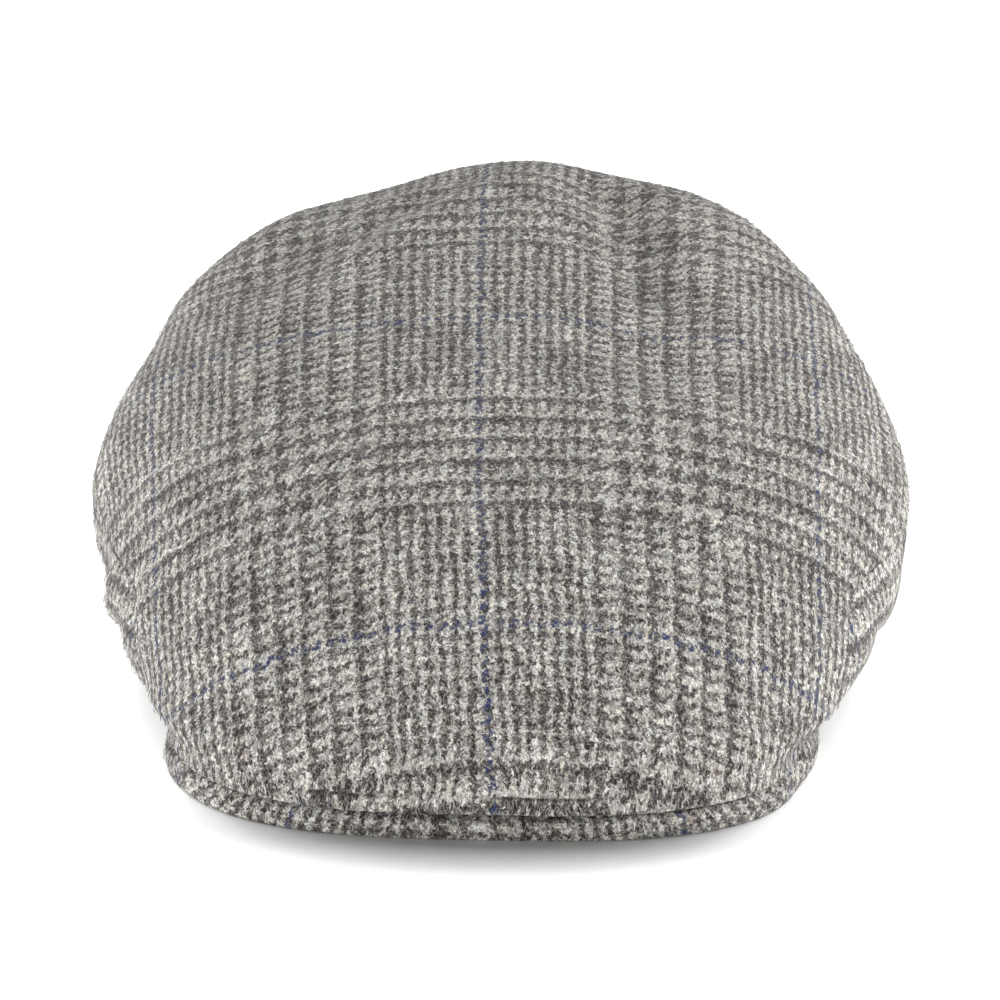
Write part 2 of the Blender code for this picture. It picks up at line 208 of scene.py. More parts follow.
# The rows and columns lie closer together near the lip and the seams. Each part of the rows has an end and a count.
COARSE_ROWS = 36
COARSE_ACROSS = 20
LIP_END = 1 / (len(SECTION_ROWS) - 1)
ROW_PARTS = ((1 / COARSE_ROWS, 9), (LIP_END + 0.02, 18), (1.0, 142))
MIDDLE_PART, MIDDLE_COUNT = 0.94, 64
TO_SEAM = np.array([.046, .036, .028, .021, .015, .010, .006, .0025, 0])


def rows_along():
    made, start = [np.zeros(1)], 0.0
    for end, count in ROW_PARTS:
        made.append(np.linspace(start, end, count)[1:])
        start = end
    return np.concatenate(made)


half = np.concatenate([np.linspace(0, MIDDLE_PART, MIDDLE_COUNT), 1 - TO_SEAM])
ACROSS = np.concatenate([-half[:0:-1], half])
ALONG = rows_along()
top_smooth = smooth_top(ACROSS, ALONG)
print("the top panel has", len(ALONG), "rows of", len(ACROSS), "points")

# %% [markdown]
# ## Folds and dents
#
# A soft cap keeps the dents of the last hand that held it. A fold follows a line over the top panel and sinks or lifts
# the cloth in a bell shape beside it. The first table is the main folds, which the plain model has too, and the second
# the slight ones. A dent is a broad push at one place, and moves every piece there.

# %% Press the folds into the panel
# across_0, along_0, across_1, along_1, width, depth
FOLDS = (
    (0.155, 0.66, 0.20, 0.50, 1.05, -0.95),
    (-0.19, 0.70, -0.31, 0.60, 1.00, -0.60),
    (0.02, 0.74, 0.04, 0.64, 1.00, 0.35),
    (0.44, 0.76, 0.50, 0.66, 1.20, 0.90),
    (-0.56, 0.74, -0.60, 0.66, 1.30, 0.80),
    (-0.86, 0.40, -0.96, 0.32, 1.40, -0.40),
)
SLIGHT_FOLDS = (
    (0.134, 0.70, 0.180, 0.56, 0.42, -0.42),
    (0.215, 0.69, 0.265, 0.57, 0.42, 0.24),
    (0.36, 0.56, 0.42, 0.44, 0.45, -0.10),
    (-0.03, 0.66, -0.17, 0.59, 0.45, 0.20),
    (-0.075, 0.675, -0.22, 0.61, 0.42, -0.40),
)
FOLD_POINTS = 7
# x, y, z, reach, push_x, push_z
DENTS_MM = (
    (-111, -28, 21, 15, 3.2, 0.0),
    (-104, -40, 12, 9, -3.0, 0.0),
    (-92, -82, 13, 14, 1.9, 0.0),
    (100, -55, 20, 12, 1.5, 0.0),
    (93, -78, 12, 12, -1.2, 0.0),
    (86, -106, 6, 14, -2.6, 0.0),
    (89, 87, 76, 20, -2.8, -0.8),
    (-50, 109, 91, 18, 0.0, -1.4),
    (-4, 111, 102, 14, 0.0, -0.9),
)
NOISE_SEED_STEP = 17.3


def dented(points):
    moved = points.copy()
    for x, y, z, reach, push_x, push_z in DENTS_MM:
        away = np.linalg.norm(points * 1000 - (x, y, z), axis=-1) / reach
        moved += np.exp(-(away[..., None] ** 2)) * np.array((push_x, 0.0, push_z)) / 1000
    return moved


def distance_to(points, line):
    """How far each point is from a line."""
    best = np.full(points.shape[:-1], np.inf)
    for start, end in zip(line, line[1:]):
        step = end - start
        share = np.clip((points - start) @ step / (step @ step), 0, 1)
        best = np.minimum(best, np.linalg.norm(points - start - share[..., None] * step, axis=-1))
    return best


def pressed(points, folds):
    push = np.zeros(points.shape[:-1])
    for across_0, along_0, across_1, along_1, width, depth in folds:
        t = np.linspace(0, 1, FOLD_POINTS)
        places = zip(across_0 + (across_1 - across_0) * t, along_0 + (along_1 - along_0) * t)
        line = [smooth_top([across], [along])[0, 0] for across, along in places]
        away = distance_to(points, line) / (width * FOLD_WIDTH)
        push += depth * FOLD_DEPTH * np.exp(-(away**2))
    return points + normals_of(points) * push[..., None]


def soft_noise(points, size, seed):
    """Smooth noise from -1 to 1 at each point, with waves about as long as the size."""
    flat = points.reshape(-1, 3) / size + seed * NOISE_SEED_STEP
    return np.array([noise.noise(Vector(p)) for p in flat]).reshape(points.shape[:-1])


top_folded = pressed(top_smooth, FOLDS)
print(f"the folds move the cloth by up to {np.abs(top_folded - top_smooth).max() * 1000:.1f} mm")

# %% [markdown]
# ## Edges of the top panel
#
# Along the peak the cloth is turned under and stands up as a short lip with a tuck above it. Along the side seams the
# stitches pull it down into a groove, with small puckers beside it.

# %% Lip, seam groove and puckers
LIP_EDGE_ROUND = 0.0009
LIP_OVERHANG = 0.0025
LIP_OVERHANG_HEIGHT = 0.0030
LIP_OVERHANG_REACH = 0.075
LIP_LIFT = 0.0006
LIP_LIFT_REACH = 0.045
LIP_LIFT_HEIGHT = 0.010
LIP_WAVE = 0.00035
LIP_WAVE_LENGTH = 0.012
TUCKS = ((0.0165, 0.017), (-0.034, 0.012))
TUCK_RISE = 0.0042
TUCK_STEP = 0.0009
TUCK_FADE = 0.0040
TUCK_DEPTH = 0.0013
TUCK_WIDTH = 0.0005
SEAM_BEGINS = 0.002
SEAM_FADE = 0.003
GROOVE_DEPTH = 0.00025
GROOVE_WIDTH = 0.0022
PUCKER = 0.00030
PUCKER_LENGTH = 0.0075
PUCKER_REACH = 0.009
LIP_PUCKER_RISE = 0.007
LIP_PUCKER_REACH = 0.006
SLACK = 0.00055
SLACK_LENGTH = 0.030
SLACK_WHOLE_FROM = 0.02


def bell(distance, width):
    return np.exp(-((distance / width) ** 2))


def rounded_edge(rise, size):
    """How far the cloth draws in over a turned edge."""
    edge = np.clip(1 - rise / size, 0, 1)
    return -size * (1 - np.sqrt(1 - edge**2))


def sewn(points, to_seam, seed):
    """The groove along a seam and the puckers beside it."""
    puckers = PUCKER * soft_noise(points, PUCKER_LENGTH, seed) * bell(to_seam, PUCKER_REACH)
    return puckers - GROOVE_DEPTH * bell(to_seam, GROOVE_WIDTH)


def slack(points, rise, seed):
    return SLACK * soft_noise(points, SLACK_LENGTH, seed) * np.clip(rise / SLACK_WHOLE_FROM, 0, 1)


def dress_top(points):
    """Adds the lip, its tucks, the seam grooves, the puckers and a little slack."""
    rise = lengths_along(points, 0)
    from_left = lengths_along(points, 1)
    to_seam = np.minimum(from_left, from_left[:, -1:] - from_left)
    x = points[..., 0]
    tuck_here = np.maximum(*(bell(x - middle, reach) for middle, reach in TUCKS))
    above_tuck = np.where(rise > TUCK_RISE, np.exp(-(rise - TUCK_RISE) / TUCK_FADE), 0.0)
    notch = bell(rise - TUCK_RISE + TUCK_WIDTH / 2, TUCK_WIDTH)
    push = rounded_edge(rise, LIP_EDGE_ROUND)
    push += (TUCK_STEP * above_tuck - TUCK_DEPTH * notch) * tuck_here
    push += LIP_OVERHANG * bell(rise, LIP_OVERHANG_HEIGHT) * bell(x, LIP_OVERHANG_REACH)
    push += sewn(points, to_seam, 1) * np.clip((rise - SEAM_BEGINS) / SEAM_FADE, 0, 1)
    push += PUCKER * soft_noise(points, PUCKER_LENGTH, 2) * bell(rise - LIP_PUCKER_RISE, LIP_PUCKER_REACH)
    push += slack(points, rise, 3)
    made = points + normals_of(points) * push[..., None]
    wave = LIP_WAVE * soft_noise(points, LIP_WAVE_LENGTH, 6)
    made[..., 2] += (LIP_LIFT * bell(x, LIP_LIFT_REACH) + wave) * np.clip(1 - rise / LIP_LIFT_HEIGHT, 0, 1)
    return made


top_outer = dented(dress_top(pressed(top_folded, SLIGHT_FOLDS)))
top_inner = top_outer - normals_of(top_outer) * CLOTH
top_inner[0, :, 2] = top_outer[0, :, 2]
print(f"the dressed panel is {np.ptp(top_outer[..., 0]) * 1000:.1f} mm wide")

# %% [markdown]
# ## The peak
#
# The peak is a stiff board covered with the same cloth. From above it is a rounded square in front, and its two tails
# run back along the head opening. A section through it is a flat loop, and the peak is that loop swept from tip to tip.

# %% Outline and thickness of the peak
def opening_at(angle, outset=0.0):
    """On the head opening in plan, from angle 0 at the front towards +X."""
    x = (OPENING_WIDTH / 2 + outset) * math.sin(angle)
    y = OPENING_CENTRE_Y - (OPENING_LENGTH / 2 + outset) * math.cos(angle)
    return np.array((x, y, 0.0))


HALVINGS = 40


def tip_angle():
    """The angle round the opening at which the peak's outline runs into the hem."""
    low, high = math.radians(30), math.radians(120)
    for _ in range(HALVINGS):
        middle = (low + high) / 2
        x, y, _ = opening_at(middle, HEM_THICKNESS)
        behind = min((y - PEAK_WIDEST_Y) / PEAK_TAIL, 1.0)
        if y < PEAK_WIDEST_Y or PEAK_WIDTH / 2 * math.sqrt(1 - behind**2) > x:
            low = middle
        else:
            high = middle
    return low


TIP_ANGLE = tip_angle()
TIP_TURN = math.pi / 2 + math.asin((opening_at(TIP_ANGLE, HEM_THICKNESS)[1] - PEAK_WIDEST_Y) / PEAK_TAIL)
WIDEST_SHARE = math.pi / 2 / TIP_TURN


def peak_edge(share):
    """On the peak's outline in plan, from share 0 at the front to 1 at the tip at +X."""
    turn = share * TIP_TURN
    if turn <= math.pi / 2:
        power = 2 / PEAK_FULLNESS
        across, along = math.sin(turn) ** power, max(math.cos(turn), 0.0) ** power
        return np.array((PEAK_WIDTH / 2 * across, PEAK_WIDEST_Y - PEAK_DEPTH * along, 0.0))
    behind = turn - math.pi / 2
    return np.array((PEAK_WIDTH / 2 * math.cos(behind), PEAK_WIDEST_Y + PEAK_TAIL * math.sin(behind), 0.0))


def peak_way(share, step):
    """The way of the peak's outline at a place."""
    return peak_edge(min(share + step, 1.0)) - peak_edge(max(share - step, 0.0))


def peak_thickness(share):
    thinning = max(0.0, (share - WIDEST_SHARE) / (1 - WIDEST_SHARE)) ** PEAK_TIP_THINNING
    return PEAK_THICKNESS + (PEAK_TIP_THICKNESS - PEAK_THICKNESS) * thinning


def peak_lift(share, distance, width):
    """How far the underside arches off the table."""
    inwards = np.clip((distance - PEAK_FLAT_BORDER) / max(width - PEAK_FLAT_BORDER, 1e-9), 0, 1)
    inwards = np.where(distance <= min(PEAK_FLAT_BORDER, width), 0.0, inwards)
    return PEAK_CAMBER * inwards**2 * (3 - 2 * inwards) * math.cos(share * math.pi / 2) ** 2


print(f"the peak runs {math.degrees(TIP_ANGLE):.0f} degrees round the opening to each side")

# %% Sweep the peak's section from tip to tip
PEAK_SECTIONS = 220
FACE_STEPS = 14
ROUND_STEPS = 7
RIM_STEPS = 6
FACE_CROWDING = 1.6
LOWER_ROUND = 0.0006
UPPER_ROUND = 0.0040
MOST_OF_THICKNESS = 0.65
MOST_OF_WIDTH = 0.3


def peak_section(share):
    """A closed loop from the opening along the underside to the rim and back over the top."""
    s = abs(share)
    outer, inner = peak_edge(s), opening_at(TIP_ANGLE * s)
    width = np.linalg.norm(inner - outer)
    inward = (inner - outer) / width
    thick = peak_thickness(s)
    quarter = np.linspace(0, np.pi / 2, ROUND_STEPS)
    rim = np.linspace(0, 1, RIM_STEPS)[1:-1]
    steps = np.linspace(0, 1, FACE_STEPS + 1)[1:] ** FACE_CROWDING
    most = min(thick * MOST_OF_THICKNESS, width * MOST_OF_WIDTH)
    below, above = min(LOWER_ROUND, most), min(UPPER_ROUND, most)
    sine, cosine = 1 - np.sin(quarter), 1 - np.cos(quarter)
    under, over = (turn + (width - turn) * steps for turn in (below, above))
    distance = np.concatenate([under[::-1], below * sine, 0 * rim, above * cosine, over])
    wall = below + (thick - below - above) * rim
    height = np.concatenate([0 * under, below * cosine, wall, thick - above * sine, thick + 0 * over])
    points = outer + inward * distance[:, None]
    points[:, 2] = height + peak_lift(s, distance, width)
    return points * MIRROR if share < 0 else points


peak_shares = PEAK_END * np.linspace(-1, 1, PEAK_SECTIONS + 1)
peak_loops = dented(np.array([peak_section(s) for s in peak_shares]))
print("the peak has", len(peak_loops), "sections of", peak_loops.shape[1], "points")

# %% [markdown]
# ## The side panels
#
# Each side panel stands on the peak, and then on the head opening, and curves out and up to the seam. It is found on
# the plain model's coarse grid, and smooth curves through that give the fine one.

# %% Stand the side panels
# lean in degrees, foot_pull, seam_pull
STANDS = (
    (78, 0.9, 0.9),
    (78, 1.5, 1.5),
    (76, 1.5, 1.4),
    (58, 1.1, 1.0),
    (45, 0.9, 0.8),
    (33, 0.8, 0.7),
    (22, 0.8, 0.6),
    (14, 0.8, 0.6),
    (12, 0.8, 0.6),
)
SEAM_OVERLAP = 0.0004
BACK_STRIDE = 5
WALL_ROWS = 8
FOOT_STEPS = 60
FOOT_STEP_SHARE = 0.01
SMOOTHING_ROUNDS = 3
SIDE_ROWS = 41
SIDE_COLUMNS = 241


def round_edge(grid):
    """A grid's values along its +X edge and on round the back to the middle line."""
    return np.concatenate([grid[1:, -1], grid[-1, COARSE_ACROSS:-1:BACK_STRIDE][::-1]])


def neighbours(points):
    """The points before and after each point of a line."""
    return np.concatenate([points[:1], points[:-1]]), np.concatenate([points[1:], points[-1:]])


def both_ways(points):
    before, after = neighbours(points)
    return after - before


def foot_line():
    """Where a side panel stands at +X, and how many of the points are on the peak."""
    made = []
    for share in np.linspace(WIDEST_SHARE, HEM_START, FOOT_STEPS + 1):
        ahead = peak_way(share, FOOT_STEP_SHARE)
        inward = unit(np.array((-ahead[1], ahead[0], 0.0)))
        foot = peak_edge(share) + inward * LIP_INSET * (1 - share**INSET_RUNOUT)
        foot[2] = peak_thickness(share) + SEAM_GAP
        made.append(foot)
    on_peak = len(made)
    for k in range(1, FOOT_STEPS + 1):
        made.append(opening_at(TIP_ANGLE + (math.pi - TIP_ANGLE) * k / FOOT_STEPS, HEM_THICKNESS))
    return np.array(made), on_peak


def shares_along(points):
    total = lengths_along(points)
    return total / total[-1]


def read_line(points, shares):
    known = shares_along(points)
    return np.stack([np.interp(shares, known, points[:, k]) for k in range(3)], axis=-1)


def feet(edge):
    """The foot under each point of the upper edge."""
    line, on_peak = foot_line()
    shares = shares_along(edge)
    change = int(np.argmin(np.abs(shares - shares_along(line)[on_peak - 1])))
    rest = shares[change + 1:]
    on_hem = read_line(line[on_peak:], (rest - rest[0]) / (rest[-1] - rest[0]))
    return np.concatenate([read_line(line[:on_peak], shares[:change + 1] / shares[change]), on_hem])


def side_panel(grid):
    """The side panel at +X, from foot to seam."""
    edge, normal = round_edge(grid), round_edge(normals_of(grid))
    way = unit(np.cross(both_ways(edge), normal))
    for _ in range(SMOOTHING_ROUNDS):
        before, after = neighbours(way)
        way = unit(before + way + after)
    base = feet(edge)
    seam = edge - way * SEAM_OVERLAP
    ahead = both_ways(base)
    outward = unit(np.stack([ahead[:, 1], -ahead[:, 0], np.zeros(len(base))], axis=-1))
    lean_deg, foot_pull, seam_pull = through(STANDS, shares_along(edge)).T[..., None]
    height = np.linalg.norm(seam - base, axis=-1, keepdims=True)
    lean = np.radians(lean_deg)
    leave = (outward * np.sin(lean) + np.array((0, 0, 1.0)) * np.cos(lean)) * height * foot_pull
    arrive = -way * height * seam_pull
    t = np.linspace(0, 1, WALL_ROWS + 1)[:, None, None]
    points = base * (2 * t**3 - 3 * t**2 + 1) + leave * (t**3 - 2 * t**2 + t)
    points = points + seam * (3 * t**2 - 2 * t**3) + arrive * (t**3 - t**2)
    points[:, -1, 0] = SEAM_GAP / 2
    return points


coarse_across = np.linspace(-1, 1, 2 * COARSE_ACROSS + 1)
coarse = pressed(smooth_top(coarse_across, np.linspace(0, 1, COARSE_ROWS + 1)), FOLDS)
side_right = finer(side_panel(coarse), SIDE_ROWS, SIDE_COLUMNS)
side_left = finer(side_panel(coarse[:, ::-1] * MIRROR), SIDE_ROWS, SIDE_COLUMNS)
print("each side panel has", SIDE_ROWS, "rows of", SIDE_COLUMNS, "points")

# %% Hem, groove and puckers of a side panel
HEM_ROUND = 0.0012
FULL_HEM_FROM = 0.02


def dress_side(points):
    """Rounds the hem, sinks the seam and lets the cloth pucker."""
    rise = lengths_along(points, 0)
    push = rounded_edge(rise, HEM_ROUND) * np.clip(rise[-1:] / FULL_HEM_FROM, 0, 1)
    push += sewn(points, rise[-1:] - rise, 4) + slack(points, rise, 5)
    return points + normals_of(points) * push[..., None]


def side_walls(points):
    """The outer and inner grids. The hem is thicker than the single cloth."""
    outer = dress_side(points)
    thick = np.where(outer[..., 2:3] < HEM_DEPTH, HEM_THICKNESS, CLOTH)
    inner = outer - normals_of(outer) * thick
    level = unit((inner[1] - outer[1]) * np.array((1.0, 1.0, 0.0)))
    inner[0] = outer[0] + level * HEM_THICKNESS
    for grid in (outer, inner):
        grid[:, -1, 0] = SEAM_GAP / 2
        grid[:, :, 0] = np.maximum(grid[:, :, 0], SEAM_GAP / 2)
    return outer, inner


right_walls = side_walls(dented(side_right))
left_walls = side_walls(dented(side_left * MIRROR) * MIRROR)
print(f"the right side panel stands {right_walls[0][..., 2].max() * 1000:.0f} mm high")

# %% [markdown]
# ## Laying the pattern pieces flat
#
# A check shows at once if a pattern is not laid as a tailor would lay it. So each panel is flattened, as a paper
# pattern piece is, with Blender's unwrap for least stretch, and turned and scaled until one unit is one metre of
# cloth, with the warp running from the peak to the back.

# %% Flatten a grid of points
UNWRAP_ROUNDS = 60


def add_object(name, data):
    made = bpy.data.objects.new(name, data)
    bpy.context.scene.collection.objects.link(made)
    return made


def grid_quads(rows, columns):
    """The point numbers of a grid, and the quads between them."""
    index = np.arange(rows * columns).reshape(rows, columns)
    return index, np.stack([index[:-1, :-1], index[:-1, 1:], index[1:, 1:], index[1:, :-1]], axis=-1).reshape(-1, 4)


def corner_points(mesh):
    corners = np.empty(len(mesh.loops), int)
    mesh.loops.foreach_get("vertex_index", corners)
    return corners


def drawn_length(grid):
    return sum(np.linalg.norm(np.diff(grid, axis=k), axis=-1).sum() for k in (0, 1))


def flatten(grid):
    """A flat place in metres for each point of a grid."""
    rows, columns = grid.shape[:2]
    mesh = bpy.data.meshes.new("pattern_piece")
    mesh.from_pydata(grid.reshape(-1, 3).tolist(), [], grid_quads(rows, columns)[1].tolist())
    mesh.uv_layers.new(name="flat")
    piece = add_object("pattern_piece", mesh)
    bpy.context.view_layer.objects.active = piece
    piece.select_set(True)
    bpy.ops.object.mode_set(mode="EDIT")
    bpy.ops.mesh.select_all(action="SELECT")
    bpy.ops.uv.unwrap(method="MINIMUM_STRETCH", iterations=UNWRAP_ROUNDS, margin=0.0)
    bpy.ops.object.mode_set(mode="OBJECT")
    places = np.empty(len(mesh.loops) * 2)
    mesh.uv_layers["flat"].data.foreach_get("uv", places)
    flat = np.empty((rows * columns, 2))
    flat[corner_points(mesh)] = places.reshape(-1, 2)
    bpy.data.objects.remove(piece)
    bpy.data.meshes.remove(mesh)
    flat = flat.reshape(rows, columns, 2)
    return flat * drawn_length(grid) / drawn_length(flat)


def aligned(flat, origin, ahead):
    """The flat piece with one point at 0, 0 and another straight above it."""
    flat = flat - origin
    way = (ahead - origin) / np.linalg.norm(ahead - origin)
    flat = np.stack([flat @ np.array((way[1], -way[0])), flat @ way], axis=-1)
    if flat[0, -1, 0] < flat[0, 0, 0]:
        flat[..., 0] *= -1
    return flat


def flat_size(flat):
    return f"{np.ptp(flat[..., 0]) * 1000:.0f} by {np.ptp(flat[..., 1]) * 1000:.0f} mm"


AHEAD_ROW = 24
flat_top = flatten(coarse)
flat_top = aligned(flat_top, flat_top[0, COARSE_ACROSS], flat_top[AHEAD_ROW, COARSE_ACROSS])
print("laid flat, the top panel is", flat_size(flat_top))

# %% [markdown]
# Sewing eases the cloth: steam and tension draw some yarns closer and let others run in a bow. Each row of the table is
# one such term. It says how far the cloth's place moves, in millimetres, where the flat panel is measured in units of
# 100 mm from a point on its middle line.

# %% Ease the cloth over the panel
# power_u, power_v, move_u, move_v
EASES = (
    (0, 0, 4.17, 50.80),
    (1, 0, 2.55, -4.40),
    (0, 1, 4.61, -0.96),
    (1, 1, -4.61, 0.32),
    (0, 2, -1.24, 0.00),
    (2, 0, -0.24, 3.82),
    (2, 1, 0.00, -13.77),
)
EASE_UNIT = 0.100
EASE_REACH = 1.1
SIDE_TIGHTENING = 9.2
LIP_TAKE_UP = 0.0018
LIP_TAKE_UP_LENGTH = 0.0080


def eased(flat):
    """The places on the woven cloth, with the middle of a blue check at 0, 0."""
    u, v = flat[..., 0] / EASE_UNIT, flat[..., 1] / EASE_UNIT - 1
    near_u, near_v = np.clip(u, -EASE_REACH, EASE_REACH), np.clip(v, -EASE_REACH, EASE_REACH)
    across, along = u * EASE_UNIT, v * EASE_UNIT
    for power_u, power_v, move_u, move_v in EASES:
        share = near_u**power_u * near_v**power_v / 1000
        across, along = across + move_u * share, along + move_v * share
    along = along + LIP_TAKE_UP * bell(flat[..., 1], LIP_TAKE_UP_LENGTH)
    return np.stack([across + SIDE_TIGHTENING * across**3, along], axis=-1)


top_cloth = read_grid(eased(flat_top), ALONG, (ACROSS + 1) / 2)
print("the woven cloth under it is", flat_size(top_cloth))

# %% Flatten the side panels
SIDE_CLOTH_SHIFT = np.array((0.0060, 0.0380))
FLAT_STRIDE = 5
LEVEL_ROW = 4
LEVEL_FROM, LEVEL_MIDDLE, LEVEL_TO = 8, 24, 40


def flatten_side(points):
    """The places on the woven cloth, with the panel's middle part level."""
    flat = flatten(points[::FLAT_STRIDE, ::FLAT_STRIDE])
    flat = aligned(flat, flat[LEVEL_ROW, LEVEL_FROM], flat[LEVEL_ROW, LEVEL_TO])
    flat = np.stack([flat[..., 1], -flat[..., 0]], axis=-1)
    if flat[-1, LEVEL_MIDDLE, 1] < flat[0, LEVEL_MIDDLE, 1]:
        flat[..., 1] *= -1
    return finer(flat, SIDE_ROWS, SIDE_COLUMNS) + SIDE_CLOTH_SHIFT


right_cloth, left_cloth = flatten_side(side_right), flatten_side(side_left)
print("laid flat, a side panel is", flat_size(right_cloth))

# %% [markdown]
# ## Cloth walls
#
# A wall of cloth is two grids, the right side and the wrong side, joined round their edges. A UV map in metres keeps
# each point's place on the flat cloth, so that the weave can be drawn at its true size.

# %% Make the meshes
WARP_UV = "cloth"
RIGHT_SIDE = "right_side"
SHARP_DEG = 50


def triangles(mesh):
    return sum(len(face.vertices) - 2 for face in mesh.polygons)


def join_cap(piece):
    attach(piece, "root")
    print(f"{piece.name}: {triangles(piece.data)} triangles")


def make_piece(name, points, faces, places, node, shown):
    """A piece in place of a plain solid. Its first faces, as many as shown, are the right side of the cloth."""
    mesh = bpy.data.meshes.new(name)
    mesh.from_pydata((points + SLIDE).tolist(), [], faces)
    mesh.validate()
    mesh.attributes.new(RIGHT_SIDE, "BOOLEAN", "FACE").data.foreach_set("value", np.arange(len(faces)) < shown)
    mesh.uv_layers.new(name=WARP_UV).data.foreach_set("uv", places[corner_points(mesh)].ravel())
    mesh.shade_smooth()
    mesh.set_sharp_from_angle(angle=math.radians(SHARP_DEG))
    made = add_object(name, mesh)
    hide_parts(node)
    join_cap(made)
    return made


def wall_faces(rows, columns, flip):
    """The faces of a closed wall between an outer and an inner grid."""
    index, quads = grid_quads(rows, columns)
    rim = np.concatenate([index[0], index[1:, -1], index[-1, -2::-1], index[-2:0:-1, 0]])
    ahead = np.roll(rim, -1)
    inside = rows * columns
    band = np.stack([ahead, rim, inside + rim, inside + ahead], axis=-1)
    faces = np.concatenate([quads, inside + quads[:, ::-1], band])
    return (faces[:, ::-1] if flip else faces).tolist()


def faces_out(grid):
    """True if the quads of a grid face out of the cap, judged at one place near its corner."""
    # Known fault: on the right side panel this place misleads. Its faces point inwards, and so do its loose fibres.
    # A sum over the whole grid is right on all three panels.
    a, b, c = grid[5, 5], grid[5, 6], grid[6, 6]
    return np.dot(np.cross(b - a, c - b), normals_of(grid)[5, 5]) > 0


def make_wall(node, outer, inner, places):
    rows, columns = outer.shape[:2]
    points = np.concatenate([outer.reshape(-1, 3), inner.reshape(-1, 3)])
    cloth = np.concatenate([places.reshape(-1, 2)] * 2)
    faces = wall_faces(rows, columns, not faces_out(outer))
    return make_piece(node + "_cloth", points, faces, cloth, node, (rows - 1) * (columns - 1))


top_piece = make_wall("top_panel", top_outer, top_inner, top_cloth)
right_piece = make_wall("side_panel_right", *right_walls, right_cloth)
left_piece = make_wall("side_panel_left", *(grid * MIRROR for grid in left_walls), left_cloth * (-1, 1))

# %% The peak's mesh and its cloth
PEAK_WARP_SHIFT = 0.0495
RIM_STEP_SHARE = 0.004


def peak_cloth_map():
    """The underside in plan, running on over the rim as if that were folded out."""
    places = np.empty(peak_loops.shape[:2] + (2,))
    for k, share in enumerate(peak_shares):
        ahead = peak_way(abs(share), RIM_STEP_SHARE)
        out = unit(np.array((ahead[1], -ahead[0]))) * (-1 if share < 0 else 1, 1)
        loop, lengths = peak_loops[k], lengths_along(peak_loops[k])[:, None]
        climbed = np.maximum(lengths - lengths[FACE_STEPS], 0)
        base = np.where(np.arange(len(loop))[:, None] < FACE_STEPS, loop[:, :2], loop[FACE_STEPS, :2])
        places[k] = base + out * climbed
    return places + np.array((PEAK_WARP_SHIFT, 0.0))


def make_peak():
    sections, count = peak_loops.shape[:2]
    index = np.arange(sections * count).reshape(sections, count)
    near, far = index[:-1], index[1:]
    band = np.stack([near, far, np.roll(far, -1, 1), np.roll(near, -1, 1)], axis=-1).reshape(-1, 4).tolist()
    faces = band + [index[0].tolist(), index[-1, ::-1].tolist()]
    places = peak_cloth_map().reshape(-1, 2)
    return make_piece("peak_cloth", peak_loops.reshape(-1, 3), faces, places, "peak", len(band))


peak_piece = make_peak()

# %% [markdown]
# ## Wiring shader nodes
#
# The shader works the cloth out yarn by yarn in many small sums. Each short helper makes one node, feeds it and hands
# back its output.

# %% Helpers for node trees
def numbered(*values):
    return dict(enumerate(values))


def floats(*labels):
    return dict.fromkeys(labels, "Float")


def enabled(sockets):
    return [socket for socket in sockets if socket.enabled]


class Wires:
    def __init__(self, tree):
        self.tree = tree

    def feed(self, sockets, values):
        """Links or sets each socket that the values name."""
        for label, value in values.items():
            if isinstance(value, bpy.types.NodeSocket):
                self.tree.links.new(value, sockets[label])
            else:
                sockets[label].default_value = value

    def node(self, kind, feeds=None, **settings):
        made = self.tree.nodes.new(kind)
        for name, value in settings.items():
            setattr(made, name, value)
        self.feed(made.inputs, feeds or {})
        return made

    def maths(self, operation, *values):
        return self.node("ShaderNodeMath", numbered(*values), operation=operation).outputs[0]

    add = partialmethod(maths, "ADD")
    minus = partialmethod(maths, "SUBTRACT")
    times = partialmethod(maths, "MULTIPLY")
    modulo = partialmethod(maths, "FLOORED_MODULO")
    less = partialmethod(maths, "LESS_THAN")
    more = partialmethod(maths, "GREATER_THAN")

    def added(self, total, value, middle, share):
        """The total plus a share of the value's distance from its middle."""
        return self.add(total, self.times(self.minus(value, middle), share))

    def vectors(self, operation, feeds):
        return self.node("ShaderNodeVectorMath", feeds, operation=operation).outputs[0]

    def mix(self, share, a, b, kind="FLOAT", **settings):
        made = self.node("ShaderNodeMix", data_type=kind, **settings)
        self.feed(enabled(made.inputs), numbered(share, a, b))
        return enabled(made.outputs)[0]

    def noise(self, vector, scale, detail=2.0, roughness=0.5, out="Fac"):
        feeds = {"Vector": vector, "Scale": scale, "Detail": detail, "Roughness": roughness}
        return self.node("ShaderNodeTexNoise", feeds, noise_dimensions="2D").outputs[out]

    def ramp(self, value, low, high, to_low=0.0, to_high=1.0):
        return self.node("ShaderNodeMapRange", numbered(value, low, high, to_low, to_high), clamp=True).outputs[0]


def new_group(name, inputs, outputs, tree="ShaderNodeTree"):
    """A node group, its wires, what it is given and the sockets of what it gives."""
    group = bpy.data.node_groups.new(name, tree)
    for way, sockets in (("INPUT", inputs), ("OUTPUT", outputs)):
        for label, kind in sockets.items():
            group.interface.new_socket(label, in_out=way, socket_type="NodeSocket" + kind)
    wires = Wires(group)
    return group, wires, wires.node("NodeGroupInput").outputs, wires.node("NodeGroupOutput").inputs


def new_material(name):
    """A material, its wires and the inputs of its shader."""
    material = bpy.data.materials.new(name)
    material.use_nodes = True
    return material, Wires(material.node_tree), material.node_tree.nodes["Principled BSDF"].inputs


print("node helpers are ready")

